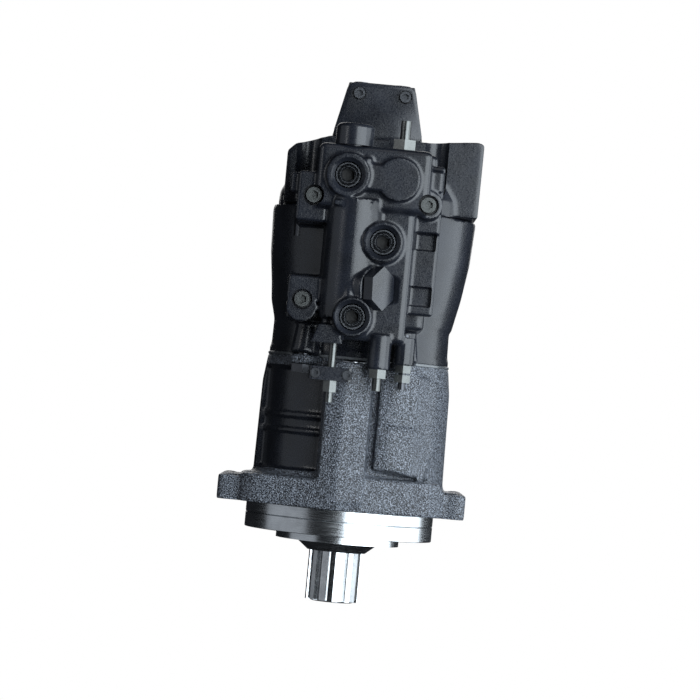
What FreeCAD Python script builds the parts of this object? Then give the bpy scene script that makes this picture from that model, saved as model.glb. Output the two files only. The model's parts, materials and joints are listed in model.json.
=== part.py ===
import FreeCAD, Part
import math
import os

# Axial piston pump, variable displacement, with a splined drive shaft.
# Millimetres. The origin is the centre of the mounting face on the shaft axis.
# +Z runs along the shaft towards the rear end, the regulator faces -Y.

V = FreeCAD.Vector
os.makedirs("parts", exist_ok=True)

# Mounting flange and pilot
pilot_r = 76.2
pilot_joint_z = -9.8
cover_front_z = -21.6
boss_front_z = -28.0
nose_front_z = -36.0
boss_r = 50.0
flange_thick = 23.0
ear_thick = 20.0
flange_r = 82.0
ear_half_x = 99.0
ear_half_y = 60.0
bolt_x = 82.0
bolt_y = 46.0
bolt_hole_r = 8.75

# Housings
body_r = 77.0
cavity_r = 62.0
parting_z = 120.0
rear_joint_z = 240.0
rear_face_z = 297.0
spigot_front_z = 228.0
spigot_r = 65.0
housing_bolt_x = 40.0
housing_bolt_y = 68.0

# Drive shaft and bearings
spline_front_z = -77.0
spline_teeth = 13
spline_major_r = 21.8
spline_minor_r = 17.9
journal_r = 22.5
front_seat_r = 25.0
shaft_r = 20.0
rear_seat_r = 15.0
tail_r = 8.0
running_gap = 0.05

# Rotating group
piston_count = 9
ring_r = 41.0
swash_max_deg = 15.0
pivot_z = 84.0
sole_z = 72.0
piston_r = 11.0
ball_r = 8.5
shift_half = ring_r * (1.0 - math.cos(math.radians(swash_max_deg))) / 2.0
bore_circle_r = ring_r - shift_half
bore_r = piston_r + shift_half + 0.15
barrel_r = 57.0
barrel_front_z = 110.0
barrel_rear_z = 222.0
guide_r = 26.0
saddle_r = 50.0
liner_thick = 2.5

# Servo piston
servo_y = -76.0
servo_r = 11.0
servo_slot_gap = 0.35

# Pilot gear pump
gear_teeth = 12
gear_module = 2.5
gear_centres = gear_teeth * gear_module
gear_front_z = rear_face_z
gear_rear_z = 313.0

charge_screw_sites = [(-14.0, -22.0), (18.0, -20.0), (-11.0, 55.0), (16.0, 55.0)]
plate_screw_x = (-15.0, 22.0)

# Regulator
reg_back_y = -84.0
body_shift = 3.5
end_seat_z = {-1: 250.0, 1: 276.0}
end_screw_tip_z = 214.0
reg_front_y = -112.0
spool_x = -15.0
spool_y = -99.0
spool_r = 7.0
plug_r = 10.5
plug_sites = [(-17.6, 261.7, -119.0), (14.3, 211.6, -121.0), (-4.3, 151.5, -125.0)]
reg_screw_sites = [(-43.0, 244.5), (47.0, 244.5), (-44.7, 162.5)]
column_x = -9.0
column_y = -99.0
column_r = 22.0
hex_plug_axis = (0.83, -0.558, 0.0)
hex_seat_reach = 24.0
hex_plug_site = (column_x + 0.83 * hex_seat_reach, column_y - 0.558 * hex_seat_reach, 175.7)


def cylinder(r, z0, z1, x=0.0, y=0.0):
    return Part.makeCylinder(r, z1 - z0, V(x, y, z0))


def tube(r_out, r_in, z0, z1, x=0.0, y=0.0):
    return cylinder(r_out, z0, z1, x, y).cut(cylinder(r_in, z0, z1, x, y))


def rod(r, start, direction, length):
    return Part.makeCylinder(r, length, V(*start), V(*direction))


def box(x0, x1, y0, y1, z0, z1):
    return Part.makeBox(x1 - x0, y1 - y0, z1 - z0, V(x0, y0, z0))


def rounded_box(x0, x1, y0, y1, z0, z1, r, direction):
    solid = box(x0, x1, y0, y1, z0, z1)
    along = V(*direction)
    picked = []
    for edge in solid.Edges:
        line = edge.Vertexes[1].Point - edge.Vertexes[0].Point
        if abs(line.normalize().dot(along)) > 0.999:
            picked.append(edge)
    return solid.makeFillet(r, picked)


def joined(shapes):
    result = shapes[0]
    if len(shapes) > 1:
        result = shapes[0].multiFuse(shapes[1:])
    return result.removeSplitter()


def without(shape, tools):
    return shape.cut(tools)


def placed(shape, position, direction):
    result = shape.copy()
    turn = FreeCAD.Rotation(V(0, 0, 1), V(*direction))
    result.Placement = FreeCAD.Placement(V(*position), turn)
    return result


def prism(points, height):
    wire = Part.makePolygon([V(*p) for p in points + [points[0]]])
    return Part.Face(wire).extrude(V(*height))


def hexagon(across_flats, z0, z1):
    r = across_flats / math.sqrt(3.0)
    points = []
    for k in range(6):
        a = math.radians(60.0 * k + 30.0)
        points.append((r * math.cos(a), r * math.sin(a), z0))
    return prism(points, (0, 0, z1 - z0))


def rotated(shape, degrees, centre=(0, 0, 0), direction=(0, 0, 1)):
    result = shape.copy()
    result.rotate(V(*centre), V(*direction), degrees)
    return result


def circle_points(count, radius):
    points = []
    for k in range(count):
        a = 2.0 * math.pi * k / count
        points.append((radius * math.cos(a), radius * math.sin(a)))
    return points


def socket_screw(d, length):
    head = cylinder(0.75 * d, 0.0, d)
    shank = cylinder(0.5 * d, -length, 0.0)
    socket = hexagon(0.8 * d, 0.45 * d, d)
    return without(joined([head, shank]), [socket])


def hex_bolt(d, length):
    head = hexagon(1.7 * d, 0.0, 0.64 * d)
    return joined([head, cylinder(0.5 * d, -length, 0.0)])


def nut(across_flats, z0, z1, hole_r, x, y):
    body = placed(hexagon(across_flats, z0, z1), (x, y, 0), (0, 0, 1))
    return without(body, [cylinder(hole_r, z0, z1, x, y)])


def save(name, shape):
    shape.exportStep("parts/" + name + ".step")


def save_group(name, shapes):
    save(name, Part.makeCompound(shapes))


# Fasteners, built first so that the castings can be cut for them
cover_screws = []
for x, y in circle_points(6, 63.0):
    cover_screws.append(placed(socket_screw(6.0, 24.0), (x, y, -15.0), (0, 0, -1)))

housing_bolts = []
for sx in (-1, 1):
    for sy in (-1, 1):
        site = (sx * housing_bolt_x, sy * housing_bolt_y, 112.0)
        housing_bolts.append(placed(hex_bolt(10.0, 30.0), site, (0, 0, -1)))

end_screws = []
for sx in (-1, 1):
    for sy in (-1, 1):
        seat_z = end_seat_z[sy]
        site = (sx * 51.0, sy * 51.0, seat_z)
        end_screws.append(placed(socket_screw(12.0, seat_z - end_screw_tip_z), site, (0, 0, 1)))

charge_screws = []
for x, y in charge_screw_sites:
    charge_screws.append(placed(socket_screw(8.0, 56.0), (x, y, 336.0), (0, 0, 1)))

plate_screws = []
for x in plate_screw_x:
    plate_screws.append(placed(socket_screw(6.0, 10.0), (x, -41.0, 333.0), (0, -1, 0)))

reg_screws = []
for x, z in reg_screw_sites:
    reg_screws.append(placed(socket_screw(8.0, 30.0), (x, -96.0, z), (0, -1, 0)))


# Front housing: flange, pilot band, barrel casing, servo rib and side panel
flange_front = [(-80, -30), (-80, -64), (-72, -71), (-6, -89), (68, -73), (80, -62), (80, -30)]


def flange_outline():
    disc = cylinder(flange_r, 0.0, flange_thick)
    ears = rounded_box(-ear_half_x, ear_half_x, -ear_half_y, ear_half_y, 0.0, ear_thick, 14.0, (0, 0, 1))
    front = prism([(x, y, 0.0) for x, y in flange_front], (0, 0, flange_thick))
    return joined([disc, ears, front])


pilot_band = cylinder(pilot_r, pilot_joint_z, 0.0)
band_edges = [e for e in pilot_band.Edges if e.BoundBox.ZMax < pilot_joint_z + 0.1]
pilot_band = pilot_band.makeChamfer(0.4, band_edges)
front_solid = [
    flange_outline(),
    pilot_band,
    Part.makeCone(body_r, body_r - 2.5, parting_z - 22.0, V(body_shift, 0, 22.0)),
    rounded_box(-20.0, 18.0, servo_y - 16.0, -50.0, 6.0, 118.0, 4.0, (0, 0, 1)),
    rounded_box(23.0, 54.0, -81.0, -50.0, 20.0, 110.0, 3.0, (0, 0, 1)),
    box(-66.0, -20.0, -40.0, -30.0, 20.0, 118.0),
]
for sx in (-1, 1):
    for sy in (-1, 1):
        front_solid.append(cylinder(11.0, 112.0, parting_z, sx * housing_bolt_x, sy * housing_bolt_y))
front_housing = joined(front_solid)

recess = cylinder(90.0, 27.0, 112.0).cut(cylinder(69.0, 27.0, 112.0))
recess = recess.common(box(-64.0, -20.0, -90.0, 0.0, 27.0, 112.0))
recess_rear = recess.mirror(V(0, 0, 0), V(0, 1, 0))
front_tools = [
    recess,
    recess_rear,
    cylinder(45.0, pilot_joint_z, 14.0),
    cylinder(40.0, 14.0, 16.0),
    cylinder(cavity_r, 16.0, parting_z),
    cylinder(servo_r + running_gap, 14.0, parting_z, 0.0, servo_y),
    box(-6.5, 6.5, servo_y + 4.0, -50.0, 47.0, 97.0),
    tube(69.0, 66.4, 118.0, parting_z),
]
for sx in (-1, 1):
    for sy in (-1, 1):
        front_tools.append(cylinder(bolt_hole_r, 0.0, ear_thick, sx * bolt_x, sy * bolt_y))
        front_tools.append(cylinder(14.5, ear_thick - 1.0, flange_thick + 6.0, sx * bolt_x, sy * bolt_y))
        front_tools.append(cylinder(5.0, 112.0, parting_z, sx * housing_bolt_x, sy * housing_bolt_y))
        front_tools.append(cylinder(11.5, 95.0, 112.0, sx * housing_bolt_x, sy * housing_bolt_y))
front_housing = without(front_housing, front_tools)
ribs = []
for z in (59.0, 72.0):
    rib = tube(73.0, 66.0, z - 1.5, z + 1.5).common(box(-64.5, -19.0, -90.0, 0.0, z - 2.0, z + 2.0))
    ribs.append(rib)
adjuster_pad_holes = []
for x in (-29.0, -4.0):
    adjuster_pad_holes.append(rod(2.5, (x, servo_y - 16.0, 106.0), (0, 1, 0), 4.0))
front_housing = joined([front_housing] + ribs)
front_housing = without(front_housing, adjuster_pad_holes + [s for s in cover_screws])

# Front cover: machined disc, bearing clamp ring, seal boss and conical nose
cover_disc = cylinder(pilot_r, cover_front_z, pilot_joint_z)
rim_edges = [e for e in cover_disc.Edges if len(e.Vertexes) == 1]
cover_disc = cover_disc.makeChamfer(0.4, rim_edges)
nose = Part.makeCone(23.6, 33.5, boss_front_z - nose_front_z, V(0, 0, nose_front_z))
front_cover = joined([
    cover_disc,
    cylinder(boss_r, boss_front_z, cover_front_z),
    nose,
    cylinder(44.95, pilot_joint_z, -6.0),
])
cover_tools = [
    cylinder(journal_r + 0.4, nose_front_z, 0.0),
    cylinder(32.0, -24.0, 0.0),
    cylinder(38.3, -7.0, 0.0),
]
for x, y in circle_points(6, 63.0):
    cover_tools.append(cylinder(3.0, -30.0, 0.0, x, y))
    cover_tools.append(cylinder(4.9, cover_front_z, -15.0, x, y))
front_cover = without(front_cover, cover_tools)

# Seal and its snap ring
shaft_seal = tube(32.0, 30.0, -24.0, -14.0)
seal_lip = tube(30.0, journal_r + running_gap, -24.0, -21.0)
shaft_seal = joined([shaft_seal, seal_lip])
seal_ring = tube(32.0, 28.5, -13.8, -12.2)

# Rear housing: waist behind the parting face, wider body, bulge on the port side
profile = [
    (0.0, parting_z),
    (75.0, parting_z),
    (75.0, 124.0),
    (70.0, 127.0),
    (70.0, 148.0),
    (75.0, 172.0),
    (79.5, 206.0),
    (80.0, rear_joint_z),
    (0.0, rear_joint_z),
]
wire = Part.makePolygon([V(r, 0, z) for r, z in profile + [profile[0]]])
rear_body = Part.Face(wire).revolve(V(0, 0, 0), V(0, 0, 1), 360)
rear_body.translate(V(body_shift, 0, 0))
bulge_side = [(40, 150), (72, 150), (82, 176), (88, 208), (88, rear_joint_z), (40, rear_joint_z)]
bulge = prism([(x, -48, z) for x, z in bulge_side], (0, 96, 0))
bulge = bulge.common(rounded_box(20.0, 88.0, -48.0, 48.0, 150.0, rear_joint_z, 16.0, (0, 0, 1)))
rear_solid = [
    rear_body,
    bulge,
    rounded_box(-52.0, 52.0, reg_back_y, -40.0, 146.0, rear_joint_z, 8.0, (0, 1, 0)),
]
for sx in (-1, 1):
    for sy in (-1, 1):
        rear_solid.append(cylinder(11.0, parting_z, 150.0, sx * housing_bolt_x, sy * housing_bolt_y))
rear_housing = joined(rear_solid)
rear_tools = [
    cylinder(cavity_r, parting_z, 226.0),
    cylinder(spigot_r + 0.05, 226.0, rear_joint_z),
]
for sx in (-1, 1):
    for sy in (-1, 1):
        rear_tools.append(cylinder(5.0, parting_z, 142.0, sx * housing_bolt_x, sy * housing_bolt_y))
        rear_tools.append(cylinder(6.0, end_screw_tip_z, rear_joint_z, sx * 51.0, sy * 51.0))
for x, z in reg_screw_sites[2:]:
    rear_tools.append(rod(4.0, (x, reg_back_y, z), (0, 1, 0), 18.0))
for sx in (-1, 1):
    rear_tools.append(cylinder(3.0, 232.0, rear_joint_z, 0.0, sx * 72.5))
rear_housing = without(rear_housing, rear_tools)

# End block: spigot, ports, rear bearing seat and passages to the kidney slots
end_solid = [
    cylinder(80.0, rear_joint_z, 250.0),
    Part.makeCone(80.0, 68.0, 12.0, V(0, 0, 250.0)),
    rounded_box(-68.0, 88.0, -50.0, 74.0, rear_joint_z, rear_face_z, 16.0, (0, 0, 1)),
    cylinder(spigot_r, spigot_front_z, rear_joint_z),
    rounded_box(-50.0, 50.0, 60.0, 84.0, 242.0, 295.0, 8.0, (0, 1, 0)),
    rounded_box(-52.0, 52.0, reg_back_y, -40.0, rear_joint_z, 286.0, 8.0, (0, 1, 0)),
]
end_block = joined(end_solid)
port_z = 268.5
end_tools = [
    cylinder(27.5, spigot_front_z, 250.0),
    cylinder(11.0, 250.0, 284.0),
    cylinder(tail_r + 0.3, 284.0, rear_face_z),
    cylinder(7.05, 283.0, rear_face_z, 0.0, gear_centres),
    tube(70.0, 62.7, 232.0, 235.2),
    cylinder(9.0, spigot_front_z, port_z, bore_circle_r, 0.0),
    cylinder(9.0, spigot_front_z, port_z, -bore_circle_r, 0.0),
    rod(12.7, (88.0, 0.0, port_z), (-1, 0, 0), 48.0),
    rod(19.0, (0.0, 84.0, port_z), (0, -1, 0), 50.0),
    rod(14.0, (-38.0, 48.0, port_z), (1, 0, 0), 38.0),
    rod(12.0, (-bore_circle_r, 0.0, port_z), (0, 1, 0), 48.0),
]
for sx in (-1, 1):
    for sy in (-1, 1):
        end_tools.append(cylinder(6.0, rear_joint_z, end_seat_z[sy], sx * 51.0, sy * 51.0))
        end_tools.append(cylinder(9.5, end_seat_z[sy], rear_face_z + 1.0, sx * 51.0, sy * 51.0))
        end_tools.append(rod(5.0, (88.0, sy * 26.2, port_z + sx * 13.1), (-1, 0, 0), 20.0))
        end_tools.append(rod(6.0, (sx * 34.9, 84.0, port_z + sy * 17.85), (0, -1, 0), 22.0))
for x, y in charge_screw_sites:
    end_tools.append(cylinder(4.0, 280.0, rear_face_z, x, y))
for x, z in reg_screw_sites[:2]:
    end_tools.append(rod(4.0, (x, reg_back_y, z), (0, 1, 0), 18.0))
for sy in (-1, 1):
    end_tools.append(cylinder(3.0, rear_joint_z, 248.0, 0.0, sy * 72.5))
end_block = without(end_block, end_tools)
dowels = [cylinder(3.0, 232.0, 248.0, 0.0, sy * 72.5) for sy in (-1, 1)]
o_rings = [
    Part.makeTorus(63.85, 1.1, V(0, 0, 233.6)),
    Part.makeTorus(67.7, 1.0, V(0, 0, 119.0)),
]


# Drive shaft with the parallel-sided spline teeth on its front end
def spline():
    core = cylinder(spline_minor_r, spline_front_z, nose_front_z)
    core = core.makeChamfer(1.2, [e for e in core.Edges if e.BoundBox.ZMax < spline_front_z + 0.1])
    teeth = []
    half = spline_major_r * math.sin(math.pi / spline_teeth) * 0.5
    for k in range(spline_teeth):
        outline = [
            (spline_minor_r - 2.0, -half * 1.05, spline_front_z + 1.0),
            (spline_major_r, -half * 0.85, spline_front_z + 1.0),
            (spline_major_r, half * 0.85, spline_front_z + 1.0),
            (spline_minor_r - 2.0, half * 1.05, spline_front_z + 1.0),
        ]
        tooth = prism(outline, (0, 0, nose_front_z - spline_front_z - 1.0))
        teeth.append(rotated(tooth, 360.0 * k / spline_teeth))
    return joined([core] + teeth)


drive_shaft = joined([
    spline(),
    cylinder(journal_r, nose_front_z, -6.0),
    cylinder(front_seat_r, -6.0, 14.0),
    cylinder(28.0, 14.0, 17.0),
    cylinder(shaft_r, 17.0, 230.0),
    cylinder(rear_seat_r, 230.0, 250.0),
    cylinder(10.0, 250.0, 282.0),
    cylinder(tail_r, 282.0, gear_rear_z),
])


# Roller bearings: rings and a row of rollers in a cage
def roller_row(pitch_r, roller_r, count, z0, z1):
    rollers = []
    pockets = []
    for x, y in circle_points(count, pitch_r):
        rollers.append(cylinder(roller_r, z0 + 2.0, z1 - 2.0, x, y))
        pockets.append(cylinder(roller_r + 0.02, z0 + 2.0, z1 - 2.0, x, y))
    cage = tube(pitch_r + 1.2, pitch_r - 1.2, z0 + 0.5, z1 - 0.5)
    return [without(cage, pockets)] + rollers


front_inner = tube(32.0, front_seat_r, -6.0, 14.0)
front_outer = tube(45.0, 38.2, -6.0, 14.0)
front_row = roller_row(35.1, 3.05, 26, -6.0, 14.0)
rear_inner = tube(19.0, rear_seat_r, 230.0, 249.5)
rear_outer = tube(27.5, 24.1, 230.0, 249.5)
rear_row = roller_row(21.55, 2.5, 20, 230.0, 249.5)

# Cradle that carries the swash plate, and its two liners
saddle_axis = (-60.0, 0.0, pivot_z)
support = joined([
    cylinder(cavity_r - 0.1, 16.0, 24.0),
    box(-51.5, -26.5, -33.0, 33.0, 20.0, 48.0),
    box(26.5, 51.5, -33.0, 33.0, 20.0, 48.0),
])
support = without(support, [
    rod(saddle_r + liner_thick, saddle_axis, (1, 0, 0), 120.0),
    cylinder(29.0, 16.0, 24.0),
    box(-20.0, 20.0, -62.0, -50.0, 16.0, 24.0),
])
liner = rod(saddle_r + liner_thick, saddle_axis, (1, 0, 0), 120.0)
liner = liner.cut(rod(saddle_r + running_gap, saddle_axis, (1, 0, 0), 120.0))
liners = []
for sx in (-1, 1):
    x_mid = sx * 39.0
    liners.append(liner.common(box(x_mid - 11.5, x_mid + 11.5, -33.0, 33.0, 20.0, 48.0)))

# Swash plate: saddle, running face and the arm that meets the servo piston
saddle = rod(saddle_r, (-51.0, 0.0, pivot_z), (1, 0, 0), 102.0)
saddle = saddle.common(cylinder(55.0, 30.0, sole_z - 4.0))
swash_plate = joined([
    saddle,
    cylinder(56.0, sole_z - 8.0, sole_z),
    box(-6.0, 6.0, -62.0, -45.0, sole_z - 8.0, sole_z),
    box(-6.0, 6.0, -62.0, -57.8, sole_z - 8.0, pivot_z + 3.5),
    box(-6.0, 6.0, servo_y, -57.8, pivot_z - 3.5, pivot_z + 3.5),
    rod(5.0, (-6.0, servo_y, pivot_z), (1, 0, 0), 12.0),
])
shaft_path = []
for step in range(4):
    lean = math.radians(swash_max_deg * step / 3.0)
    start = (0.0, -60.0 * math.sin(lean), pivot_z - 60.0 * math.cos(lean))
    shaft_path.append(rod(22.5, start, (0.0, math.sin(lean), math.cos(lean)), 80.0))
swash_plate = without(swash_plate, shaft_path)

# Servo piston with the slot for the arm's pin
slot_half = 5.0 + servo_slot_gap
servo_piston = cylinder(servo_r, 40.0, 117.5, 0.0, servo_y)
servo_piston = without(servo_piston, [
    box(-7.0, 7.0, servo_y - 5.5, servo_y + 5.5, pivot_z - slot_half, pivot_z + slot_half),
    box(-7.0, 7.0, servo_y + 5.0, servo_y + 14.0, pivot_z - 8.5, pivot_z + 8.5),
])

# Slipper shoes and pistons
shoes = []
pistons = []
ball_sites = circle_points(piston_count, ring_r)
for x, y in ball_sites:
    shoe = joined([
        cylinder(13.8, sole_z + 0.03, 77.0, x, y),
        cylinder(11.2, 77.0, pivot_z + 3.0, x, y),
    ])
    shoe = without(shoe, [Part.makeSphere(ball_r + running_gap, V(x, y, pivot_z))])
    shoe = without(shoe, [cylinder(2.0, sole_z, pivot_z, x, y)])
    shoes.append(shoe)
    ball = Part.makeSphere(ball_r, V(x, y, pivot_z))
    piston = joined([
        ball,
        cylinder(6.0, pivot_z, 92.0, x, y),
        Part.makeCone(6.0, piston_r, 6.0, V(x, y, 92.0)),
        cylinder(piston_r, 98.0, 180.0, x, y),
    ])
    pistons.append(without(piston, [cylinder(7.0, 130.0, 180.0, x, y), cylinder(1.5, 60.0, 180.0, x, y)]))

# Retainer plate, spherical guide and centre spring
retainer = cylinder(56.0, 77.3, 82.3)
retainer = without(retainer, [Part.makeSphere(guide_r + running_gap, V(0, 0, pivot_z))])
retainer = without(retainer, [cylinder(11.8, 77.0, 83.0, x, y) for x, y in ball_sites])
guide = Part.makeSphere(guide_r, V(0, 0, pivot_z)).common(box(-40.0, 40.0, -40.0, 40.0, 80.0, 93.0))
guide = joined([guide, cylinder(24.0, 90.0, 118.0)])
guide = without(guide, [cylinder(shaft_r, 70.0, 120.0)])
disc_height = 4.9
disc_springs = []
for k in range(6):
    z0 = 118.1 + disc_height * k
    inner_z, outer_z = (z0, z0 + 2.6) if k % 2 == 0 else (z0 + 2.6, z0)
    section = [(20.5, 0, inner_z), (23.5, 0, outer_z), (23.5, 0, outer_z + 2.2), (20.5, 0, inner_z + 2.2)]
    wire = Part.makePolygon([V(*p) for p in section + [section[0]]])
    disc_springs.append(Part.Face(wire).revolve(V(0, 0, 0), V(0, 0, 1), 360))

# Cylinder barrel and valve plate
barrel = cylinder(barrel_r, barrel_front_z, barrel_rear_z)
barrel_tools = [cylinder(shaft_r, 100.0, 230.0), cylinder(24.05, barrel_front_z, 148.0)]
for x, y in circle_points(piston_count, bore_circle_r):
    barrel_tools.append(cylinder(bore_r, barrel_front_z, 208.0, x, y))
    barrel_tools.append(cylinder(6.0, 208.0, barrel_rear_z, x, y))
barrel = without(barrel, barrel_tools)

kidney_ring = tube(bore_circle_r + 5.5, bore_circle_r - 5.5, 222.0, 229.0)
kidney_right = kidney_ring.common(box(18.0, 60.0, -60.0, 60.0, 222.0, 229.0))
kidney_left = kidney_ring.common(box(-60.0, -18.0, -60.0, 60.0, 222.0, 229.0))
valve_plate = tube(barrel_r, 21.0, barrel_rear_z + running_gap, spigot_front_z)
valve_plate = without(valve_plate, [kidney_right, kidney_left])


# Gears of the pilot pump, with involute flanks
def gear(centre_y, first_tooth_deg, bore, z0, z1):
    pitch_r = gear_teeth * gear_module / 2.0
    pressure = math.radians(25.0)
    base_r = pitch_r * math.cos(pressure)
    tip_r = pitch_r + 0.8 * gear_module
    root_r = pitch_r - 0.8 * gear_module - 0.4
    half_pitch = math.pi / (2.0 * gear_teeth) - 0.10 / pitch_r
    at_pitch = math.tan(pressure) - pressure
    flank = []
    for k in range(9):
        r = base_r + (tip_r - base_r) * k / 8.0
        roll = math.acos(base_r / r)
        flank.append((r, half_pitch + at_pitch - (math.tan(roll) - roll)))
    outline = []
    for k in range(gear_teeth):
        middle = math.radians(first_tooth_deg) + 2.0 * math.pi * k / gear_teeth
        side = [(root_r, flank[0][1])] + flank
        for r, a in side:
            outline.append((r * math.cos(middle - a), r * math.sin(middle - a), z0))
        for r, a in reversed(side):
            outline.append((r * math.cos(middle + a), r * math.sin(middle + a), z0))
    body = prism(outline, (0, 0, z1 - z0))
    body.translate(V(0, centre_y, 0))
    if bore > 0.0:
        body = without(body, [cylinder(bore, z0, z1, 0.0, centre_y)])
    return body


gear_z0 = gear_front_z + running_gap
drive_gear = gear(0.0, 90.0, tail_r, gear_z0, gear_rear_z)
driven_gear = gear(gear_centres, 270.0 + 180.0 / gear_teeth, 0.0, gear_z0, gear_rear_z)
driven_gear = joined([
    driven_gear,
    cylinder(7.0, 284.0, gear_z0, 0.0, gear_centres),
    cylinder(7.0, gear_rear_z, 324.0, 0.0, gear_centres),
])


# Pilot pump body and its flat cover plate
def trapezoid(y0, y1, grow):
    points = [
        (-34.0 - grow, y0, rear_face_z),
        (39.0 + grow, y0, rear_face_z),
        (29.0 + grow, y0, 342.0),
        (-24.0 - grow, y0, 342.0),
    ]
    solid = prism(points, (0, y1 - y0, 0))
    corners = []
    for edge in solid.Edges:
        line = edge.Vertexes[1].Point - edge.Vertexes[0].Point
        if abs(line.y) > 1.0 and edge.Vertexes[0].Point.z > 340.0:
            corners.append(edge)
    return solid.makeFillet(5.0, corners)


charge_body = trapezoid(-38.0, 66.0, 0.0)
tip_bore = gear_teeth * gear_module / 2.0 + 0.8 * gear_module + 0.05
charge_tools = [
    cylinder(tip_bore, rear_face_z, gear_rear_z + 0.05),
    cylinder(tip_bore, rear_face_z, gear_rear_z + 0.05, 0.0, gear_centres),
    cylinder(7.05, gear_rear_z, 325.0, 0.0, gear_centres),
]
for x, y in charge_screw_sites:
    charge_tools.append(cylinder(4.0, rear_face_z, 336.0, x, y))
    charge_tools.append(cylinder(6.6, 336.0, 345.0, x, y))
for x in plate_screw_x:
    charge_tools.append(rod(3.0, (x, -38.0, 333.0), (0, 1, 0), 7.0))
charge_body = without(charge_body, charge_tools)
charge_plate = trapezoid(-44.0, -38.0, 0.0)
plate_tools = []
for x in plate_screw_x:
    plate_tools.append(rod(3.0, (x, -44.0, 333.0), (0, 1, 0), 6.0))
    plate_tools.append(rod(5.0, (x, -44.0, 333.0), (0, 1, 0), 3.0))
charge_plate = without(charge_plate, plate_tools)

# Regulator body: valve casing, spool column, plug bosses, lugs and adjuster necks
shield_front = [(-35.0, 130.0), (-10.0, 130.0), (-14.0, 144.0), (-30.0, 144.0)]
reg_solid = [
    rounded_box(-42.0, 46.0, reg_front_y, reg_back_y, 198.0, 286.0, 6.0, (0, 1, 0)),
    rounded_box(-24.0, 38.0, -106.0, reg_back_y, 134.0, 212.0, 4.0, (0, 1, 0)),
    cylinder(column_r, 150.0, 240.0, column_x, column_y),
    rounded_box(-56.0, -34.0, -96.0, reg_back_y, 222.0, 264.0, 3.0, (0, 1, 0)),
    rounded_box(-62.0, -50.0, -92.0, reg_back_y, 246.0, 262.0, 2.0, (0, 1, 0)),
    rounded_box(36.0, 58.0, -96.0, reg_back_y, 222.0, 276.0, 3.0, (0, 1, 0)),
    rounded_box(-57.0, -18.0, -96.0, reg_back_y, 143.0, 181.0, 9.0, (0, 1, 0)),
    rounded_box(36.0, 57.0, -92.0, reg_back_y, 160.0, 210.0, 3.0, (0, 1, 0)),
    rod(16.5, (22.1, -116.0, 261.6), (0, 1, 0), 20.0),
    rounded_box(-17.6, 22.1, -116.0, -100.0, 250.0, 272.0, 3.0, (0, 1, 0)),
    rod(16.0, (column_x, column_y, 175.7), hex_plug_axis, hex_seat_reach),
    cylinder(9.0, 113.0, 140.0, 19.2, -102.0),
    cylinder(8.0, 118.0, 140.0, 39.0, -94.0),
    prism([(x, -116.0, z) for x, z in shield_front], (0, 20, 0)),
]
boss_radii = (17.0, 15.5, 15.0)
for (x, z, front_y), r in zip(plug_sites, boss_radii):
    reg_solid.append(rod(r, (x, front_y, z), (0, 1, 0), 25.0))
regulator = joined(reg_solid).common(box(-70.0, 70.0, -130.0, reg_back_y, 100.0, 300.0))

hex_plug = joined([hexagon(30.0, 0.0, 8.0), cylinder(9.0, -8.0, 0.0)])
hex_plug = placed(hex_plug, hex_plug_site, hex_plug_axis)
plug_tools = [hexagon(9.0, 3.0, 9.0), tube(plug_r - 1.0, plug_r - 3.0, 8.0, 9.0)]
plug_body = without(cylinder(plug_r, 0.0, 9.0), plug_tools)
port_plugs = []
reg_tools = [
    cylinder(spool_r + running_gap, 158.0, 262.0, spool_x, spool_y),
    cylinder(10.0, 262.0, 286.0, spool_x, spool_y),
    placed(cylinder(9.0, -8.0, 0.0), hex_plug_site, hex_plug_axis),
    placed(cylinder(17.8, 0.0, 24.0), hex_plug_site, hex_plug_axis),
    cylinder(3.05, 129.0, 143.0, -17.0, -107.0),
    cylinder(3.55, 113.0, 150.0, 19.2, -102.0),
    cylinder(3.05, 118.0, 148.0, 39.0, -94.0),
    cylinder(4.05, 262.0, 286.0, 24.0, -97.0),
]
for x, z, front_y in plug_sites:
    reg_tools.append(rod(plug_r, (x, front_y, z), (0, 1, 0), 12.0))
    port_plugs.append(placed(plug_body, (x, front_y + 12.0, z), (0, -1, 0)))
for x, z in reg_screw_sites:
    reg_tools.append(rod(4.0, (x, -96.0, z), (0, 1, 0), 12.0))
    reg_tools.append(rod(6.6, (x, -125.0, z), (0, 1, 0), 29.0))
regulator = without(regulator, reg_tools)

# Spool, its spring and cap
spool = cylinder(spool_r, 164.0, 254.0, spool_x, spool_y)
spool = without(spool, [tube(8.0, 4.5, z, z + 8.0, spool_x, spool_y) for z in (182.0, 204.0, 226.0)])
spool_spring = tube(8.0, 6.0, 262.0, 285.0, spool_x, spool_y)
spool_cap = joined([
    cylinder(15.0, 286.0, 303.0, spool_x, spool_y),
    cylinder(9.9, 285.0, 286.0, spool_x, spool_y),
])
top_edges = [e for e in spool_cap.Edges if e.BoundBox.ZMin > 302.0 and len(e.Vertexes) == 1]
spool_cap = spool_cap.makeFillet(4.0, top_edges)

# Adjusting screws, their lock nuts and the bracket on the front housing
flow_screw = cylinder(3.0, 84.0, 139.0, -17.0, -107.0)
power_screw = cylinder(3.5, 96.0, 142.0, 19.2, -102.0)
minimum_screw = cylinder(3.0, 99.0, 142.0, 39.0, -94.0)
top_screw = cylinder(4.0, 270.0, 309.0, 24.0, -97.0)
lock_nuts = [
    nut(10.0, 92.0, 101.0, 3.05, -17.0, -107.0),
    nut(13.0, 106.0, 113.0, 3.55, 19.2, -102.0),
    nut(12.0, 112.0, 118.0, 3.05, 39.0, -94.0),
    nut(12.0, 104.5, 110.5, 3.05, 39.0, -94.0),
    nut(17.0, 286.0, 294.0, 4.05, 24.0, -97.0),
]
bracket = rounded_box(-34.0, 0.0, -114.0, servo_y - 16.0, 101.0, 111.5, 3.0, (0, 0, 1))
bracket_screws = []
bracket_tools = [cylinder(3.05, 101.0, 111.5, -17.0, -107.0)]
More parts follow.
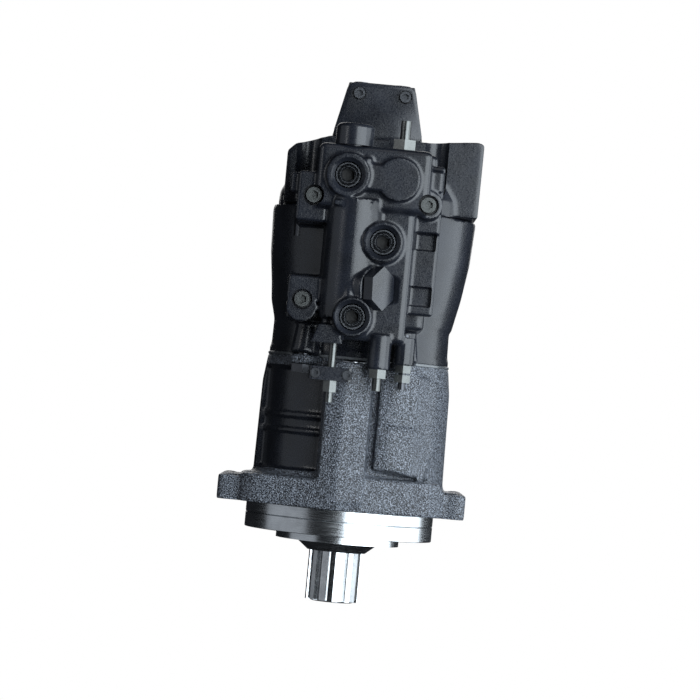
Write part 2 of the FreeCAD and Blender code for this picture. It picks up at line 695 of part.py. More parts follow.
for x in (-29.0, -4.0):
    bracket_screws.append(placed(socket_screw(5.0, 22.0), (x, -110.0, 106.0), (0, -1, 0)))
    bracket_tools.append(rod(2.5, (x, -110.0, 106.0), (0, 1, 0), 18.0))
    bracket_tools.append(rod(4.0, (x, -114.0, 106.0), (0, 1, 0), 4.0))
bracket = without(bracket, bracket_tools)

save("front_housing", front_housing)
save("front_cover", front_cover)
save("rear_housing", rear_housing)
save("end_block", end_block)
save("charge_pump_body", charge_body)
save("charge_cover_plate", charge_plate)
save("regulator_body", regulator)
save("drive_shaft", drive_shaft)
save("shaft_seal", shaft_seal)
save("seal_snap_ring", seal_ring)
save_group("bearing_outer_rings", [front_outer, rear_outer])
save_group("bearing_inner_rings", [front_inner, rear_inner])
save_group("front_bearing_rollers", front_row)
save_group("rear_bearing_rollers", rear_row)
save("swash_support", support)
save_group("cradle_liners", liners)
save("swash_plate", swash_plate)
save("servo_piston", servo_piston)
for number in range(piston_count):
    save("shoe_%d" % (number + 1), shoes[number])
    save("piston_%d" % (number + 1), pistons[number])
save("retainer_plate", retainer)
save("spherical_guide", guide)
save_group("centre_spring", disc_springs)
save("cylinder_barrel", barrel)
save("valve_plate", valve_plate)
save("charge_drive_gear", drive_gear)
save("charge_driven_gear", driven_gear)
save_group("port_plugs", port_plugs)
save("hex_plug", hex_plug)
save("regulator_spool", spool)
save("spool_spring", spool_spring)
save("spool_cap", spool_cap)
save("flow_screw", flow_screw)
save("power_screw", power_screw)
save("minimum_screw", minimum_screw)
save("top_screw", top_screw)
save_group("lock_nuts", lock_nuts)
save("adjuster_bracket", bracket)
save_group("small_screws", cover_screws + plate_screws + bracket_screws)
save_group("housing_bolts", housing_bolts)
save_group("rear_end_screws", end_screws + charge_screws)
save_group("regulator_screws", reg_screws)
save_group("o_rings", o_rings)
save_group("dowels", dowels)
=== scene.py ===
import json
import math
import bpy
import bmesh
from mathutils import Matrix, Vector

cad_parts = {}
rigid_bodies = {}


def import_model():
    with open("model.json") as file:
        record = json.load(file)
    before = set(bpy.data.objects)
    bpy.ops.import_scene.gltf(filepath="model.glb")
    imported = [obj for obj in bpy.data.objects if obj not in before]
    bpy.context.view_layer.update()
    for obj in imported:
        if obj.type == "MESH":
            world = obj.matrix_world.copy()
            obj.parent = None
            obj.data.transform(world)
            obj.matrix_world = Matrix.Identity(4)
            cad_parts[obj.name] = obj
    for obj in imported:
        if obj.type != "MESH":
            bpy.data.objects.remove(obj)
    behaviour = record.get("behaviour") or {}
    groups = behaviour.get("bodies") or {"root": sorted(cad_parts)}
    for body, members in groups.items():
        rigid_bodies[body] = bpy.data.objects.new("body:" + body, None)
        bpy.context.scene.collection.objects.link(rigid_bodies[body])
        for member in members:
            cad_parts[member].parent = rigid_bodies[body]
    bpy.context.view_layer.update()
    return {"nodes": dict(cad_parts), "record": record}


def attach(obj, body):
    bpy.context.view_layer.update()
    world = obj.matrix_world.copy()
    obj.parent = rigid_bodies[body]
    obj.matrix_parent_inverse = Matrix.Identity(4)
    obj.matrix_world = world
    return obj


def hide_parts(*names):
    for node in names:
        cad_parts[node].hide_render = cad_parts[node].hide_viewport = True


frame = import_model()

nodes = frame["nodes"]

# ---------------------------------------------------------------- front housing
# Grey iron sand casting with the mounting flange, the servo rib and the side panel.
# The skin keeps the grain of the sand under thin black paint, with the grain tops painted
# lighter as painted highlights; the cavity, the servo bore and the flange holes are
# machined after casting.
mm = 0.001
parting_z = 120.0
body_shift = (4, 0)
flange_bolt_x, flange_bolt_y = 82, 46
joint_bolt_x, joint_bolt_y = 40, 68
corners = [(side, face) for side in (-1, 1) for face in (-1, 1)]


def block(bm, low, high, rounding=0.0, along=None):
    verts = bmesh.ops.create_cube(bm, size=mm)["verts"]
    bmesh.ops.scale(bm, vec=Vector(high) - Vector(low), verts=verts)
    bmesh.ops.translate(bm, vec=(Vector(high) + Vector(low)) * mm / 2, verts=verts)
    if rounding:
        edges = list(dict.fromkeys(e for v in verts for e in v.link_edges))
        if along is not None:
            way = Vector([float(a == along) for a in "XYZ"])
            edges = [e for e in edges if abs((e.verts[0].co - e.verts[1].co).normalized().dot(way)) > 0.99]
        bmesh.ops.bevel(bm, geom=edges, offset=rounding * mm, segments=6, profile=0.5,
                        affect="EDGES", material=-1)


def post(bm, foot, tip, radius, tip_radius=None, sides=72):
    foot, tip = Vector(foot) * mm, Vector(tip) * mm
    place = Matrix.Translation((foot + tip) / 2) @ (tip - foot).to_track_quat("Z", "Y").to_matrix().to_4x4()
    far = radius if tip_radius is None else tip_radius
    bmesh.ops.create_cone(bm, cap_ends=True, segments=sides, radius1=radius * mm, radius2=far * mm,
                          depth=(tip - foot).length, matrix=place)


def plank(bm, outline, travel):
    face = bm.faces.new([bm.verts.new(Vector(p) * mm) for p in outline])
    grown = bmesh.ops.extrude_face_region(bm, geom=[face])["geom"]
    raised = [g for g in grown if isinstance(g, bmesh.types.BMVert)]
    bmesh.ops.translate(bm, vec=Vector(travel) * mm, verts=raised)


def turned(bm, profile, centre=(0, 0), sides=144):
    verts = [bm.verts.new(Vector((r + centre[0], centre[1], z)) * mm) for r, z in profile]
    pairs = list(zip(verts, verts[1:]))
    if profile[0][0]:
        pairs.append((verts[-1], verts[0]))
    edges = [bm.edges.new(pair) for pair in pairs]
    bmesh.ops.spin(bm, geom=verts + edges, cent=Vector((*centre, 0)) * mm, axis=(0, 0, 1),
                   angle=math.tau, steps=sides, use_merge=True)
    axis = [v for v in bm.verts if (v.co.xy - Vector(centre) * mm).length < 1e-7]
    bmesh.ops.remove_doubles(bm, verts=axis, dist=1e-7)


def stored(name, bm):
    bmesh.ops.recalc_face_normals(bm, faces=bm.faces)
    mesh = bpy.data.meshes.new(name)
    bm.to_mesh(mesh)
    bm.free()
    piece = bpy.data.objects.new(name, mesh)
    bpy.context.scene.collection.objects.link(piece)
    return piece


def settle(piece, crease=38.0):
    mesh = bpy.data.meshes.new_from_object(piece.evaluated_get(bpy.context.evaluated_depsgraph_get()))
    piece.modifiers.clear()
    piece.data = mesh
    bm = bmesh.new()
    bm.from_mesh(mesh)
    for face in bm.faces:
        face.smooth = True
    for edge in bm.edges:
        edge.smooth = len(edge.link_faces) == 2 and edge.calc_face_angle(0.0) < math.radians(crease)
    bm.to_mesh(mesh)
    bm.free()
    return piece


def islands(bm):
    seen = set()
    for first in list(bm.verts):
        if first.index in seen:
            continue
        found, waiting = {first.index}, [first]
        while waiting:
            for edge in waiting.pop().link_edges:
                for vert in edge.verts:
                    if vert.index not in found:
                        found.add(vert.index)
                        waiting.append(vert)
        seen |= found
        yield found


def cut_by(piece, bm):
    group = bpy.data.collections.new("tools")
    bpy.context.scene.collection.children.link(group)
    bm.verts.index_update()
    for count, island in enumerate(islands(bm)):
        one = bm.copy()
        bmesh.ops.delete(one, geom=[v for v in one.verts if v.index not in island], context="VERTS")
        tool = stored("tool_%d" % count, one)
        group.objects.link(tool)
    bm.free()
    cut = piece.modifiers.new("cut", "BOOLEAN")
    cut.operation = "DIFFERENCE"
    cut.operand_type = "COLLECTION"
    cut.collection = group
    cut.solver = "MANIFOLD"
    settle(piece)
    for tool in list(group.objects):
        bpy.data.objects.remove(tool)
    bpy.data.collections.remove(group)


def skinned(piece, grain):
    skin = piece.modifiers.new("skin", "REMESH")
    skin.mode = "VOXEL"
    skin.voxel_size = grain * mm


def sand_cast(name, pattern, pockets=None, drillings=None, grain=1.4, melt=4):
    piece = stored(name, pattern)
    skinned(piece, grain)
    if pockets is not None:
        settle(piece)
        cut_by(piece, pockets)
        skinned(piece, grain)
    soft = piece.modifiers.new("soft", "SMOOTH")
    soft.factor = 0.5
    soft.iterations = melt
    settle(piece)
    if drillings is not None:
        cut_by(piece, drillings)
    return piece


def fitted(piece, material, body, stands_for=()):
    piece.data.materials.clear()
    piece.data.materials.append(material)
    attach(piece, body)
    if stands_for:
        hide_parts(*stands_for)
    return piece


def finish(name, base, rough, metal=0.0):
    material = bpy.data.materials.new(name)
    material.use_nodes = True
    tree = material.node_tree
    shader = tree.nodes["Principled BSDF"]
    shader.inputs["Base Color"].default_value = (*base, 1.0)
    shader.inputs["Roughness"].default_value = rough
    shader.inputs["Metallic"].default_value = metal
    place = tree.nodes.new("ShaderNodeTexCoord")
    return material, tree, shader, place.outputs["Object"]


def noise(tree, place, size, detail=3.0, roughness=0.55, stretch=None):
    if stretch is not None:
        scale = tree.nodes.new("ShaderNodeMapping")
        scale.inputs["Scale"].default_value = stretch
        tree.links.new(place, scale.inputs["Vector"])
        place = scale.outputs["Vector"]
    node = tree.nodes.new("ShaderNodeTexNoise")
    node.inputs["Scale"].default_value = 1.0 / (size * mm)
    node.inputs["Detail"].default_value = detail
    node.inputs["Roughness"].default_value = roughness
    tree.links.new(place, node.inputs["Vector"])
    return node.outputs["Fac"]


def ramp(tree, value, low, high, dark, light):
    node = tree.nodes.new("ShaderNodeMapRange")
    node.inputs["From Min"].default_value = low
    node.inputs["From Max"].default_value = high
    node.inputs["To Min"].default_value = dark
    node.inputs["To Max"].default_value = light
    tree.links.new(value, node.inputs["Value"])
    return node.outputs["Result"]


def tint(tree, value, dark, light):
    node = tree.nodes.new("ShaderNodeMix")
    node.data_type = "RGBA"
    node.inputs["A"].default_value = (*dark, 1.0)
    node.inputs["B"].default_value = (*light, 1.0)
    tree.links.new(value, node.inputs["Factor"])
    return node.outputs["Result"]


def bumped(tree, shader, height, depth, strength=1.0, under=None):
    node = tree.nodes.new("ShaderNodeBump")
    node.inputs["Distance"].default_value = depth * mm
    node.inputs["Strength"].default_value = strength
    tree.links.new(height, node.inputs["Height"])
    if under is not None:
        tree.links.new(under, node.inputs["Normal"])
    tree.links.new(node.outputs["Normal"], shader.inputs["Normal"])
    return node.outputs["Normal"]


def black_paint(name, grain, depth, rough, dark=(0.006, 0.007, 0.010), light=(0.012, 0.014, 0.020),
                painted_glint_colour=None):
    material, tree, shader, place = finish(name, dark, rough)
    cloud = ramp(tree, noise(tree, place, 26.0, 4.0), 0.35, 0.7, 0.0, 1.0)
    tree.links.new(tint(tree, cloud, dark, light), shader.inputs["Base Color"])
    grain_and_glint_mask = noise(tree, place, grain, 2.0, 0.5)
    # Painted highlight: a lighter blue-grey is mixed into the base colour on the raised sand grains to stand
    # in for the glints of light on them.
    if painted_glint_colour is not None:
        under = shader.inputs["Base Color"].links[0].from_socket
        painted_glint_mix = tree.nodes.new("ShaderNodeMix")
        painted_glint_mix.data_type = "RGBA"
        tree.links.new(under, painted_glint_mix.inputs["A"])
        painted_glint_mix.inputs["B"].default_value = (*painted_glint_colour, 1.0)
        tree.links.new(ramp(tree, grain_and_glint_mask, 0.44, 0.70, 0.0, 1.0), painted_glint_mix.inputs["Factor"])
        tree.links.new(painted_glint_mix.outputs["Result"], shader.inputs["Base Color"])
    tree.links.new(ramp(tree, grain_and_glint_mask, 0.3, 0.7, rough + 0.1, rough - 0.06), shader.inputs["Roughness"])
    swell = bumped(tree, shader, noise(tree, place, 14.0, 2.0), 0.5, 0.3)
    bumped(tree, shader, grain_and_glint_mask, depth, 1.0, swell)
    shader.inputs["Specular IOR Level"].default_value = 0.36
    shader.inputs["Coat Weight"].default_value = 0.18
    shader.inputs["Coat Roughness"].default_value = 0.16
    return material


def arc(radius, first, last, z, steps=14):
    turns = [math.radians(first + (last - first) * k / steps) for k in range(steps + 1)]
    return [(radius * math.cos(t), radius * math.sin(t), z) for t in turns]


# The sand paint carries painted highlights: its grain tops are coloured lighter where the glints on the sand
# skin fall.
sand_paint_with_glints = black_paint("sand_cast_black_painted_glints", 1.0, 1.7, 0.27, painted_glint_colour=(0.24, 0.265, 0.31))
fine_paint = black_paint("fine_cast_black", 1.3, 0.07, 0.27)

pattern = bmesh.new()
turned(pattern, [(0, 0), (82, 0), (82, 23), (0, 23)])
block(pattern, (-99, -60, 0), (99, 60, 20), 6.0, "Z")
plank(pattern, [(-80, -30, 0), (-80, -64, 0), (-72, -71, 0), (-6, -91, 0), (68, -74, 0), (80, -62, 0),
                (80, -30, 0)], (0, 0, 23))
turned(pattern, [(0, 15), (77.5, 15), (76.2, 98), (73.4, parting_z), (0, parting_z)], body_shift)
plank(pattern, [(-20, -55, 6), (-20, -87, 6), (-6, -92.5, 6), (16, -88.5, 6), (18, -55, 6)], (0, 0, 111))
plank(pattern, [(18, -60, 2), (18, -85, 2), (68, -74, 2), (79, -60, 2)], (0, 0, 25.5))
plank(pattern, [(23, -50, 34), (23, -82.5, 34), (36, -82, 34), (53, -75.5, 31), (70, -50, 28)], (0, 0, 80))
post(pattern, (61, -50, 34), (61, -63.5, 34), 4.0)
post(pattern, (63.5, -48, 41), (63.5, -61, 41), 4.0)
for side, face in corners:
    x, y = joint_bolt_x * side, joint_bolt_y * face
    post(pattern, (x, y, 112), (x, y, parting_z), 11.0)
core = bmesh.new()
for first in (192, 106):
    plank(core, arc(69.6, first, first + 61, 28) + arc(92, first + 61, first, 28), (0, 0, 81))
    for low, high in ((28.2, 57.8), (60.6, 70.4), (73.1, 108.8)):
        plank(core, arc(67.6, first + 0.4, first + 60.6, low) + arc(91.5, first + 60.6, first + 0.4, low),
              (0, 0, high - low))
for low, high in ((66.8, 69.4), (76.8, 79.4)):
    plank(core, [(24.5, -79.2, low), (24.5, -90, low), (60, -90, low), (53.5, -71.6, low), (37, -78.9, low)],
          (0, 0, high - low))
plank(core, [(-6.8, -93, -1), (-6, -89.6, -1), (-5.2, -93, -1)], (0, 0, 26))
for side, face in corners:
    x, y = joint_bolt_x * side, joint_bolt_y * face
    post(core, (x, y, 102), (x, y, 112.4), 10.0)
drill = bmesh.new()
turned(drill, [(0, -2), (45, -2), (45, 14.5), (40, 14.5), (40, 16), (62, 16), (62, 122), (0, 122)])
post(drill, (0, -76, 14), (0, -76, 122), 11.1)
block(drill, (-6.5, -72, 47), (6.5, -50, 97))
for side, face in corners:
    x, y = flange_bolt_x * side, flange_bolt_y * face
    post(drill, (x, y, -2), (x, y, 20), 8.75)
    post(drill, (x, y, 19), (x, y, 26), 14.5)
    x, y = joint_bolt_x * side, joint_bolt_y * face
    post(drill, (x, y, 100), (x, y, 122), 5.1)
front_casting = sand_cast("front_casting", pattern, core, drill, 1.45, 4)
fitted(front_casting, sand_paint_with_glints, "housing", ("front_housing",))
# Painted shade: faces in the recess on the left side take the plain black without the painted grain
# highlights, so the recess reads darker than the rest of the casting.
front_casting.data.materials.append(fine_paint)
for polygon in front_casting.data.polygons:
    spot = polygon.center / mm
    if 26 < spot.z < 111 and 63 < spot.xy.length < 73.4 and spot.x < -17:
        polygon.material_index = 1

# ---------------------------------------------------------------- pilot band
# The turned spigot below the flange that centres the pump in its drive, bright
# steel grey iron left bare, with fine circular tool marks and broken edges.


def turned_metal(name, base, rough, mark=0.35, across=(0.02, 0.02, 1.0)):
    material, tree, shader, place = finish(name, base, rough, 1.0)
    marks = noise(tree, place, mark, 2.0, 0.6, across)
    stain = ramp(tree, noise(tree, place, 18.0, 4.0, 0.6), 0.3, 0.7, 0.0, 1.0)
    shade = tuple(c * 0.72 for c in base)
    tree.links.new(tint(tree, stain, shade, base), shader.inputs["Base Color"])
    tree.links.new(ramp(tree, marks, 0.25, 0.75, rough - 0.05, rough + 0.12), shader.inputs["Roughness"])
    bumped(tree, shader, marks, 0.02, 0.5)
    return material


turned_steel = turned_metal("turned_steel", (0.60, 0.62, 0.64), 0.20)
band = bmesh.new()
turned(band, [(45.2, -9.8), (75.4, -9.8), (76.2, -9.0), (76.2, -0.9), (75.6, -0.3), (75.6, 0.1), (45.2, 0.1)])
fitted(settle(stored("pilot_band", band), 25.0), turned_steel, "housing")

# ---------------------------------------------------------------- parting line
# Machined faces of the two housings where they meet, a narrow bright ring that the
# paint leaves thin all round the joint.
seam = bmesh.new()
turned(seam, [(67.5, 119.0), (73.3, 119.0), (73.7, 119.4), (73.7, 120.9), (73.3, 121.3), (67.5, 121.3)],
       body_shift)
seam_paint = black_paint("worn_edge_black", 1.4, 0.1, 0.24, (0.05, 0.055, 0.06), (0.16, 0.17, 0.18))
fitted(settle(stored("parting_line", seam), 25.0), seam_paint, "housing")

# ---------------------------------------------------------------- rear housing
# Second sand casting, waisted behind the joint and widening to the rear, with the
# pad for the regulator in front and the bulge of the delivery passage at one side.
rear_joint_z = 240
end_screw_at = 51
pattern = bmesh.new()
turned(pattern, [(0, parting_z), (72.8, parting_z), (72.8, 125), (71.8, 128), (71.4, 148), (75.2, 163),
                 (76.4, 178), (79.4, 203), (80.6, 236), (80, rear_joint_z), (0, rear_joint_z)], body_shift)
turned(pattern, [(0, 150), (69, 150), (74.5, 176), (79, 206), (81, 239.7), (0, 239.7)], (8, 0))
block(pattern, (-32, -84, 146), (52, -40, 239.6), 4.0)
block(pattern, (-57, -84, 146), (-25, -50, 182), 3.0)
block(pattern, (-56, -84, 223), (-25, -50, 239.8), 2.0)
for side, face in corners:
    x, y = joint_bolt_x * side, joint_bolt_y * face
    post(pattern, (x, y, parting_z), (38 * side, 62 * face, 150), 11.0, 9.0)
drill = bmesh.new()
turned(drill, [(0, 118), (62, 118), (62, 226), (65.05, 226), (65.05, 242), (0, 242)])
for side, face in corners:
    x, y = joint_bolt_x * side, joint_bolt_y * face
    post(drill, (x, y, 118), (x, y, 142), 5.1)
    x, y = end_screw_at * side, end_screw_at * face
    post(drill, (x, y, 214), (x, y, 242), 6.1)
rear_casting = sand_cast("rear_casting", pattern, None, drill, 1.6, 5)
fitted(rear_casting, fine_paint, "housing", ("rear_housing",))

# ---------------------------------------------------------------- end block
# Port plate casting at the rear: delivery port on one side, wide suction port at
# the back, both with four tapped holes on a machined pad.
port_z = 268.5
end_seat_z = {-1: 250, 1: 276}
pattern = bmesh.new()
turned(pattern, [(0, rear_joint_z), (80, rear_joint_z), (79, 252), (73.5, 263), (62, 273), (40, 281),
                 (0, 284)], (7, 0))
plank(pattern, [(-68, -50, 240.5), (88, -50, 240.5), (88.5, -50, 300), (84, -50, 302), (42, -50, 298),
                (-34, -50, 297), (-62, -50, 288), (-68, -50, 282)], (0, 124, 0))
block(pattern, (-50, 55, 242), (50, 84, 295), 6.0)
block(pattern, (-42, -84, 240.3), (52, -40, 286), 5.0)
block(pattern, (-56, -84, 240.2), (-25, -40, 264), 2.0)
drill = bmesh.new()
turned(drill, [(0, 238), (27.5, 238), (27.5, 250), (11, 250), (11, 284), (8.3, 284), (8.3, 299), (0, 299)])
post(drill, (0, 30, 283), (0, 30, 299), 7.05)
post(drill, (90, 0, port_z), (40, 0, port_z), 12.7)
post(drill, (0, 86, port_z), (0, 34, port_z), 19.0)
for side, face in corners:
    x, y, seat_z = end_screw_at * side, end_screw_at * face, end_seat_z[face]
    post(drill, (x, y, 238), (x, y, seat_z + 1), 6.1)
    post(drill, (x, y, seat_z), (x, y, 304), 9.6)
    y, z = 26.2 * face, port_z + 13.1 * side
    post(drill, (90, y, z), (68, y, z), 5.0)
    x, z = 34.9 * side, port_z + 17.85 * face
    post(drill, (x, 86, z), (x, 62, z), 6.0)
end_casting = sand_cast("end_casting", pattern, None, drill, 1.6, 4)
fitted(end_casting, fine_paint, "housing", ("end_block",))

# ---------------------------------------------------------------- spigot of the end block
# Turned boss of the port plate that enters the rear housing and carries the rear
# bearing and the valve plate; bare machined iron.
spigot = bmesh.new()
turned(spigot, [(27.5, 228), (62.7, 228), (62.7, 235), (65, 235), (65, 240.6), (27.5, 240.6)])
fitted(settle(stored("end_spigot", spigot), 25.0), turned_steel, "housing")

# ---------------------------------------------------------------- charge pump
# Small cast housing bolted on the rear face over the charge gears, closed by a
# sheet steel plate in front; both black like the pump.
pump_foot_z, pump_top_z = 297.2, 342
cover_y, cover_back_y = -44, -38
cover_screw_z = 333


def pump_outline(y):
    return [(-34, y, pump_foot_z), (39, y, pump_foot_z), (29, y, pump_top_z), (-24, y, pump_top_z)]


pattern = bmesh.new()
plank(pattern, pump_outline(cover_back_y), (0, 104, 0))
fitted(sand_cast("charge_casting", pattern, None, None, 1.2, 4), fine_paint, "housing",
       ("charge_pump_body",))
plate = bmesh.new()
plank(plate, pump_outline(cover_y), (0, cover_back_y - cover_y, 0))
upright = [e for e in plate.edges if abs((e.verts[0].co - e.verts[1].co).normalized().y) > 0.99]
bmesh.ops.bevel(plate, geom=upright, offset=6 * mm, segments=6, profile=0.5, affect="EDGES", material=-1)
front_edges = [e for e in plate.edges if max(v.co.y for v in e.verts) < (cover_y + 0.1) * mm]
bmesh.ops.bevel(plate, geom=front_edges, offset=1.0 * mm, segments=3, profile=0.5,
                affect="EDGES", material=-1)
drill = bmesh.new()
for x in (-15, 22):
    post(drill, (x, cover_y - 2, cover_screw_z), (x, cover_back_y + 2, cover_screw_z), 3.0)
    post(drill, (x, cover_y - 2, cover_screw_z), (x, cover_y + 3, cover_screw_z), 5.4)
cover = stored("charge_plate", plate)
cut_by(cover, drill)
settle(cover, 30.0)
fitted(cover, fine_paint, "housing", ("charge_cover_plate",))

# ---------------------------------------------------------------- regulator body
# Cast valve casing of the displacement control: round spool column, bosses for the
# three port plugs and the hexagon plug, side lugs for its screws, adjuster necks.
plug_places = ((-17.6, -119, 261.7), (14.3, -121, 211.6), (-4.3, -125, 151.5))
screw_places = ((-43, 244.5), (47, 244.5), (-44.7, 162.5))
back_y = -84.2
seat_y = -95.6
pattern = bmesh.new()
block(pattern, (-42, -111, 236), (47, back_y, 286), 5.0)
block(pattern, (-28, -106, 134), (38, back_y, 246), 5.0)
post(pattern, (-9, -98, 150), (-9, -98, 244), 22.0)
block(pattern, (28, -104, 150), (36, -90, 240), 3.5)
block(pattern, (-56, -101, 224), (-32, back_y, 263), 2.0)
block(pattern, (-62, -92, 246), (-50, back_y, 262), 1.5)
block(pattern, (36, -97, 222), (58, back_y, 276), 2.0)
block(pattern, (38, -101, 255), (57, -90, 272), 2.0)
block(pattern, (36, -93, 158), (58, back_y, 226), 2.0)
block(pattern, (-57, -101, 162), (-20, back_y, 181), 2.0)
post(pattern, (-44.7, back_y, 157), (-44.7, -101, 157), 12.0)
post(pattern, (47, back_y, 244.5), (47, -102.5, 244.5), 11.2)
for (x, y, z), r in zip(plug_places, (17.0, 15.5, 15.0)):
    post(pattern, (x, -90, z), (x, y, z), r + 1.0, r)
post(pattern, (22.1, -95, 261.6), (22.1, -116, 261.6), 16.8)
block(pattern, (-17.6, -116, 251), (22.1, -98, 272), 2.0)
post(pattern, (-3.1, -108, 273.5), (-3.1, -117, 273.5), 4.0, 2.6)
plank(pattern, [(-26, -108, 241), (-26, -108, 238), (-8, -108, 235), (1, -108, 236.5), (3.5, -108, 241)],
      (0, -10, 0))
post(pattern, (-9, -99, 175.7), (9.4, -111.4, 175.7), 16.5)
trail = [(2, -110, 203), (-5, -113, 193), (-8.5, -115, 180), (-8.5, -117, 164)]
for a, b in zip(trail, trail[1:]):
    post(pattern, a, b, 5.0)
post(pattern, (19.2, -102, 113), (19.2, -102, 140), 9.0)
post(pattern, (39, -94, 118), (39, -94, 140), 8.0)
plank(pattern, [(-35, -116, 130), (-10, -116, 130), (-14, -116, 144), (-30, -116, 144)], (0, 22, 0))
core = bmesh.new()
block(core, (39.5, -104, 209), (56, -88, 223))
block(core, (38.5, -104, 165), (56, -88, 181))
post(core, (10.9, -112.4, 175.7), (26.6, -122.9, 175.7), 18.4, None, 6)
drill = bmesh.new()
post(drill, (-15, -99, 158), (-15, -99, 262.5), 7.05)
post(drill, (-15, -99, 262), (-15, -99, 288), 10.0)
post(drill, (-17, -107, 126), (-17, -107, 143), 3.05)
post(drill, (19.2, -102, 111), (19.2, -102, 150), 3.55)
post(drill, (39, -94, 116), (39, -94, 148), 3.05)
post(drill, (24, -97, 262), (24, -97, 288), 4.05)
post(drill, (5.1, -108.5, 175.7), (12.6, -113.5, 175.7), 9.0)
for x, y, z in plug_places:
    post(drill, (x, y + 12, z), (x, y - 6, z), 10.5)
    post(drill, (x, y + 3.2, z), (x, y - 0.6, z), 10.3, 14.1)
for x, z in screw_places:
    post(drill, (x, -82, z), (x, -100, z), 4.0)
    post(drill, (x, seat_y, z), (x, -126, z), 8.1)
valve_casting = sand_cast("valve_casting", pattern, core, drill, 1.0, 4)
fitted(valve_casting, fine_paint, "housing", ("regulator_body",))

# ---------------------------------------------------------------- port plugs
# Three bought-in hexagon socket plugs that close the gauge ports: turned steel with
# a raised rim and a broached socket, black oxide, screwed in against the bosses.
plugs = bmesh.new()
sockets = bmesh.new()
for x, y, z in plug_places:
    made = bmesh.new()
    turned(made, [(0, -9), (10.4, -9), (10.4, -1.4), (9.6, -0.4), (8.4, -0.4), (7.8, -1.6), (7.0, -1.6),
                  (6.6, -0.8), (6.2, -0.8), (5.7, -1.6), (0, -1.6)], (0, 0), 72)
    bmesh.ops.rotate(made, cent=(0, 0, 0), matrix=Matrix.Rotation(math.radians(90), 3, "X"), verts=made.verts)
    bmesh.ops.translate(made, vec=Vector((x, y + 3, z)) * mm, verts=made.verts)
    loose = bpy.data.meshes.new("plug")
    made.to_mesh(loose)
    made.free()
    plugs.from_mesh(loose)
    bpy.data.meshes.remove(loose)
    post(sockets, (x, y + 10.5, z), (x, y + 1, z), 5.4, None, 6)
plug_set = stored("socket_plugs", plugs)
cut_by(plug_set, sockets)
settle(plug_set, 25.0)
oxide = turned_metal("oxide_plug", (0.03, 0.032, 0.036), 0.20, 0.3)
fitted(plug_set, oxide, "housing", ("port_plugs",))
# Painted highlight: the rim rings facing the front take a lighter metal than the rest of each plug.
rim_painted_highlight = turned_metal("rim_painted_highlight", (0.12, 0.125, 0.135), 0.22, 0.3)
# Painted shade: the deep faces inside each hexagon socket take a near-black finish.
socket_painted_shade = black_paint("socket_painted_shade", 1.2, 0.05, 0.6, (0.002, 0.002, 0.002), (0.003, 0.003, 0.003))
plug_set.data.materials.append(rim_painted_highlight)
plug_set.data.materials.append(socket_painted_shade)
# Front-facing rim rings get the painted highlight metal; the deep faces of each socket get the painted shade
# finish.
for polygon in plug_set.data.polygons:
    spot = polygon.center / mm
    x, y, z = min(plug_places, key=lambda place: abs(place[2] - spot.z))
    reach = math.hypot(spot.x - x, spot.z - z)
    # painted shade on the deep faces inside the socket
    if reach < 5.5 and spot.y > y + 5:
        polygon.material_index = 2
    elif (8.3 < reach < 9.7 or 5.9 < reach < 6.5) and polygon.normal.y < -0.5:
        polygon.material_index = 1

# ---------------------------------------------------------------- turned and bought-in pieces
# Every remaining piece keeps its CAD shape and takes the finish its slot names:
# ground, case-hardened or plated steel, bronze, rubber and bare internal iron.
ground_steel = turned_metal("ground_steel", (0.58, 0.59, 0.60), 0.24, 0.5)
bearing_steel = turned_metal("bearing_steel", (0.66, 0.67, 0.68), 0.14, 0.25)
hard_steel = turned_metal("case_hardened_steel", (0.42, 0.43, 0.45), 0.26, 0.4)
bronze = turned_metal("bronze", (0.62, 0.40, 0.18), 0.28, 0.4)
plated = turned_metal("zinc_plate", (0.115, 0.12, 0.118), 0.28, 0.8, (1.0, 1.0, 1.0))
blackened = turned_metal("black_oxide", (0.075, 0.078, 0.085), 0.30, 0.9, (1.0, 1.0, 1.0))
rubber, tree, shader, place = finish("nitrile_rubber", (0.012, 0.012, 0.013), 0.6)
bumped(tree, shader, noise(tree, place, 0.6), 0.05, 0.4)
iron, tree, shader, place = finish("machined_iron", (0.20, 0.21, 0.22), 0.42, 0.85)
bumped(tree, shader, noise(tree, place, 0.7, 3.0), 0.05, 0.5)
looks = {"cast_paint": fine_paint, "machined_steel": ground_steel, "bearing_steel": bearing_steel,
         "rubber": rubber, "internal_iron": iron, "bronze": bronze, "hardened_steel": hard_steel,
         "dark_steel": blackened, "plated_steel": plated}
for part in frame["record"]["subparts"]:
    mesh = nodes[part["node"]].data
    mesh.materials.clear()
    mesh.materials.append(looks[part["material_slot"]])
nodes["front_cover"].data.materials[0] = turned_steel
nodes["hex_plug"].data.materials[0] = fine_paint
nodes["regulator_screws"].data.materials[0] = plated

# ---------------------------------------------------------------- studio
# Pale floor and surround seen by the camera only, soft boxes for the light: a large
# one to the front right, weaker ones at the right, left, top and rear, and a narrow
# strip at the front left that draws thin glints along the cast edges.


def soft_box(name, azimuth, height, distance, width, tall, watts, colour=(1, 1, 1)):
    light = bpy.data.lights.new(name, "AREA")
    light.shape, light.size, light.size_y = "RECTANGLE", width, tall
    light.energy, light.color = watts, colour
    lamp = bpy.data.objects.new(name, light)
    bpy.context.scene.collection.objects.link(lamp)
    turn = math.radians(azimuth)
    middle = Vector((0, 0, 0.13))
    lamp.location = middle + Vector((math.sin(turn), -math.cos(turn), height)) * distance
    lamp.rotation_euler = (middle - lamp.location).to_track_quat("-Z", "Y").to_euler()


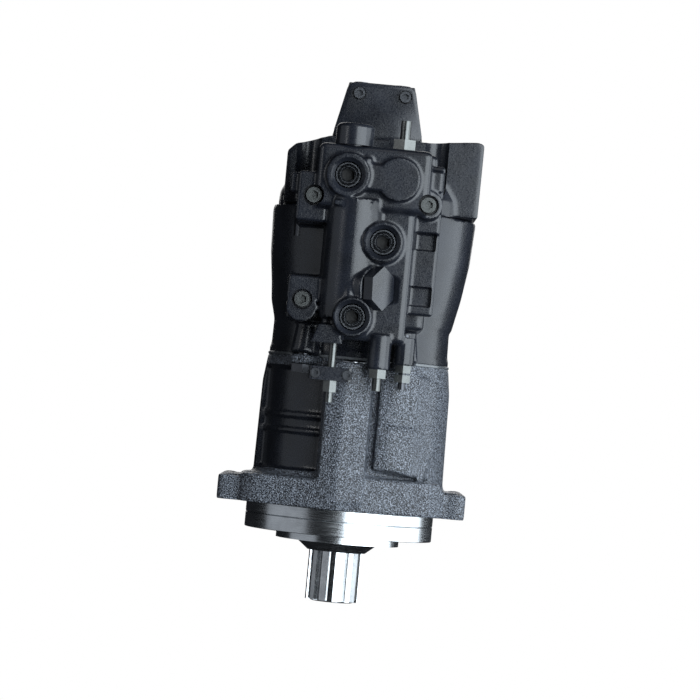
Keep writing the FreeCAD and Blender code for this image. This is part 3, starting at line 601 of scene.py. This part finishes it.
soft_box("key_box", 37, 0.10, 1.5, 1.65, 2.0, 62, (0.86, 0.94, 1.0))
soft_box("right_box", 92, 0.05, 1.5, 1.4, 1.6, 22, (0.86, 0.94, 1.0))
soft_box("left_box", -68, 0.05, 1.6, 1.8, 1.8, 5.0, (0.86, 0.92, 1.0))
soft_box("top_box", 10, 1.6, 1.2, 1.2, 1.2, 3)
soft_box("rear_box", 180, 0.4, 2.2, 1.6, 1.6, 9)
soft_box("glint_box", -50, 0.35, 1.6, 0.16, 0.7, 1.6)
world = bpy.data.worlds.new("studio")
world.use_nodes = True
world.node_tree.nodes["Background"].inputs["Color"].default_value = (0.012, 0.013, 0.015, 1.0)
bpy.context.scene.world = world


def bright(name, shade):
    material = bpy.data.materials.new(name)
    material.use_nodes = True
    tree = material.node_tree
    tree.nodes.remove(tree.nodes["Principled BSDF"])
    glow = tree.nodes.new("ShaderNodeEmission")
    glow.inputs["Color"].default_value = (*shade, 1.0)
    tree.links.new(glow.outputs["Emission"], tree.nodes["Material Output"].inputs["Surface"])
    return material


def scenery(name, bm, material):
    piece = stored(name, bm)
    piece.data.materials.append(material)
    for polygon in piece.data.polygons:
        polygon.use_smooth = True
    piece.visible_diffuse = piece.visible_glossy = piece.visible_shadow = piece.visible_transmission = False


surround = bmesh.new()
bmesh.ops.create_uvsphere(surround, u_segments=64, v_segments=32, radius=6.0)
scenery("surround", surround, bright("white_surround", (1.0, 1.0, 1.0)))
floor = bmesh.new()
bmesh.ops.create_circle(floor, cap_ends=True, segments=96, radius=3.0,
                        matrix=Matrix.Translation((0, 0, -0.9)))
scenery("floor", floor, bright("pale_floor", (0.97, 0.97, 0.97)))

camera_data = bpy.data.cameras.new("camera")
camera_data.lens = 157.8
camera_data.sensor_width = 36.0
camera_data.dof.use_dof = False
camera = bpy.data.objects.new("camera", camera_data)
bpy.context.scene.collection.objects.link(camera)
target = Vector((-0.0037, 0.0, 0.128))
camera.location = target + Vector((0.0, -2.5, -0.044))
aim = (target - camera.location).to_track_quat("-Z", "Y").to_matrix().to_4x4()
camera.matrix_world = Matrix.Translation(camera.location) @ aim @ Matrix.Rotation(math.radians(5.3), 4, "Z")
bpy.context.scene.camera = camera
bpy.context.scene.view_settings.view_transform = "Standard"
